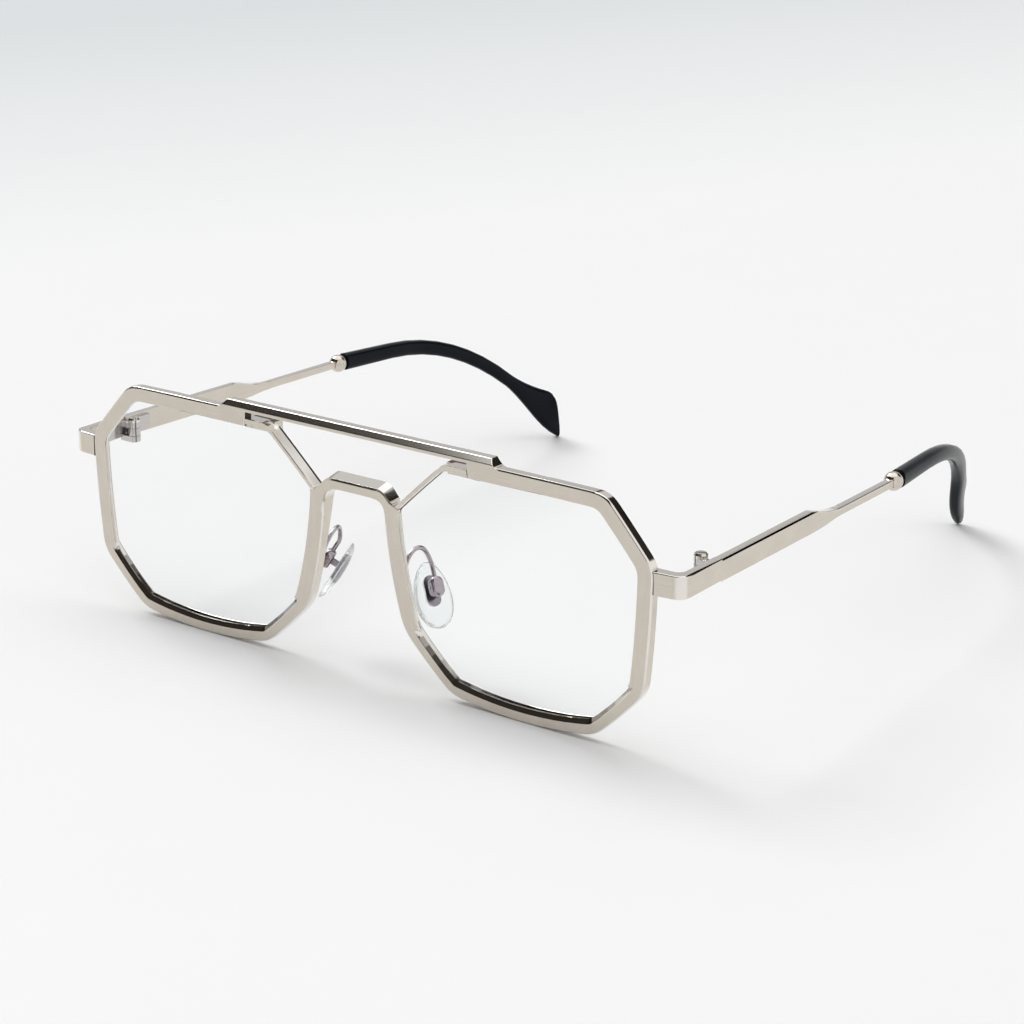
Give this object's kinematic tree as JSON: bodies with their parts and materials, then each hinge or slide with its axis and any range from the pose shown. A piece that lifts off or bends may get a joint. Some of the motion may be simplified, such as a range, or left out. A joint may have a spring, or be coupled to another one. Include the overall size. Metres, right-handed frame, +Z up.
{
  "type": "eyeglasses",
  "caption": "Metal eyeglasses with octagonal rims, a straight brow bar over a lower bridge, slim folding temples with black tips and clear nose pads on wire arms.",
  "frame": {"origin": "on the ground, in the plane of symmetry, below the middle of the object's depth", "axes": "+X towards the wearer's left, -Y towards the front of the glasses, +Z up"},
  "size_m": [0.1486, 0.1482, 0.0506],
  "materials": {
    "brushed_metal": "satin brushed, warm silver",
    "polished_metal": "polished, warm silver",
    "steel_fittings": "bright steel",
    "pad_insert_metal": "stamped plate, purple-grey",
    "lens_plastic": "clear, anti-reflective",
    "pad_silicone": "clear silicone",
    "black_acetate": "glossy black"
  },
  "bodies": {
    "front": {"front_frame": "brushed_metal", "eyewire_left": "polished_metal", "eyewire_right": "polished_metal", "lens_left": "lens_plastic", "lens_right": "lens_plastic", "closing_screw_left": "steel_fittings", "closing_screw_right": "steel_fittings", "end_piece_left": "brushed_metal", "end_piece_right": "brushed_metal", "front_hinge_left": "steel_fittings", "front_hinge_right": "steel_fittings", "hinge_screw_left": "steel_fittings", "hinge_screw_right": "steel_fittings", "pad_arm_left": "polished_metal", "pad_arm_right": "polished_metal", "pad_box_left": "polished_metal", "pad_box_right": "polished_metal", "pad_screw_left": "steel_fittings", "pad_screw_right": "steel_fittings"},
    "temple_left": {"temple_hinge_left": "steel_fittings", "temple_left": "brushed_metal", "ferrule_left": "polished_metal", "temple_tip_left": "black_acetate"},
    "pad_left": {"pad_insert_left": "pad_insert_metal", "nose_pad_left": "pad_silicone"},
    "temple_right": {"temple_hinge_right": "steel_fittings", "temple_right": "brushed_metal", "ferrule_right": "polished_metal", "temple_tip_right": "black_acetate"},
    "pad_right": {"pad_insert_right": "pad_insert_metal", "nose_pad_right": "pad_silicone"}
  },
  "joints": [
    {"name": "temple_left_fold", "type": "hinge", "parent": "front", "child": "temple_left", "pos_m": [0.0698, -0.06039, 0.0335], "axis": [0, 0, 1], "range_deg": [0, 86]},
    {"name": "temple_right_fold", "type": "hinge", "parent": "front", "child": "temple_right", "pos_m": [-0.0698, -0.06039, 0.0335], "axis": [0, 0, -1], "range_deg": [0, 80]},
    {"name": "pad_left_rock", "type": "hinge", "parent": "front", "child": "pad_left", "pos_m": [0.0133, -0.06569, 0.0188], "axis": [0.4548, 0.8899, -0.0366], "range_deg": [-8, 8]},
    {"name": "pad_right_rock", "type": "hinge", "parent": "front", "child": "pad_right", "pos_m": [-0.0133, -0.06569, 0.0188], "axis": [-0.4548, 0.8899, -0.0366], "range_deg": [-8, 8]}
  ]
}
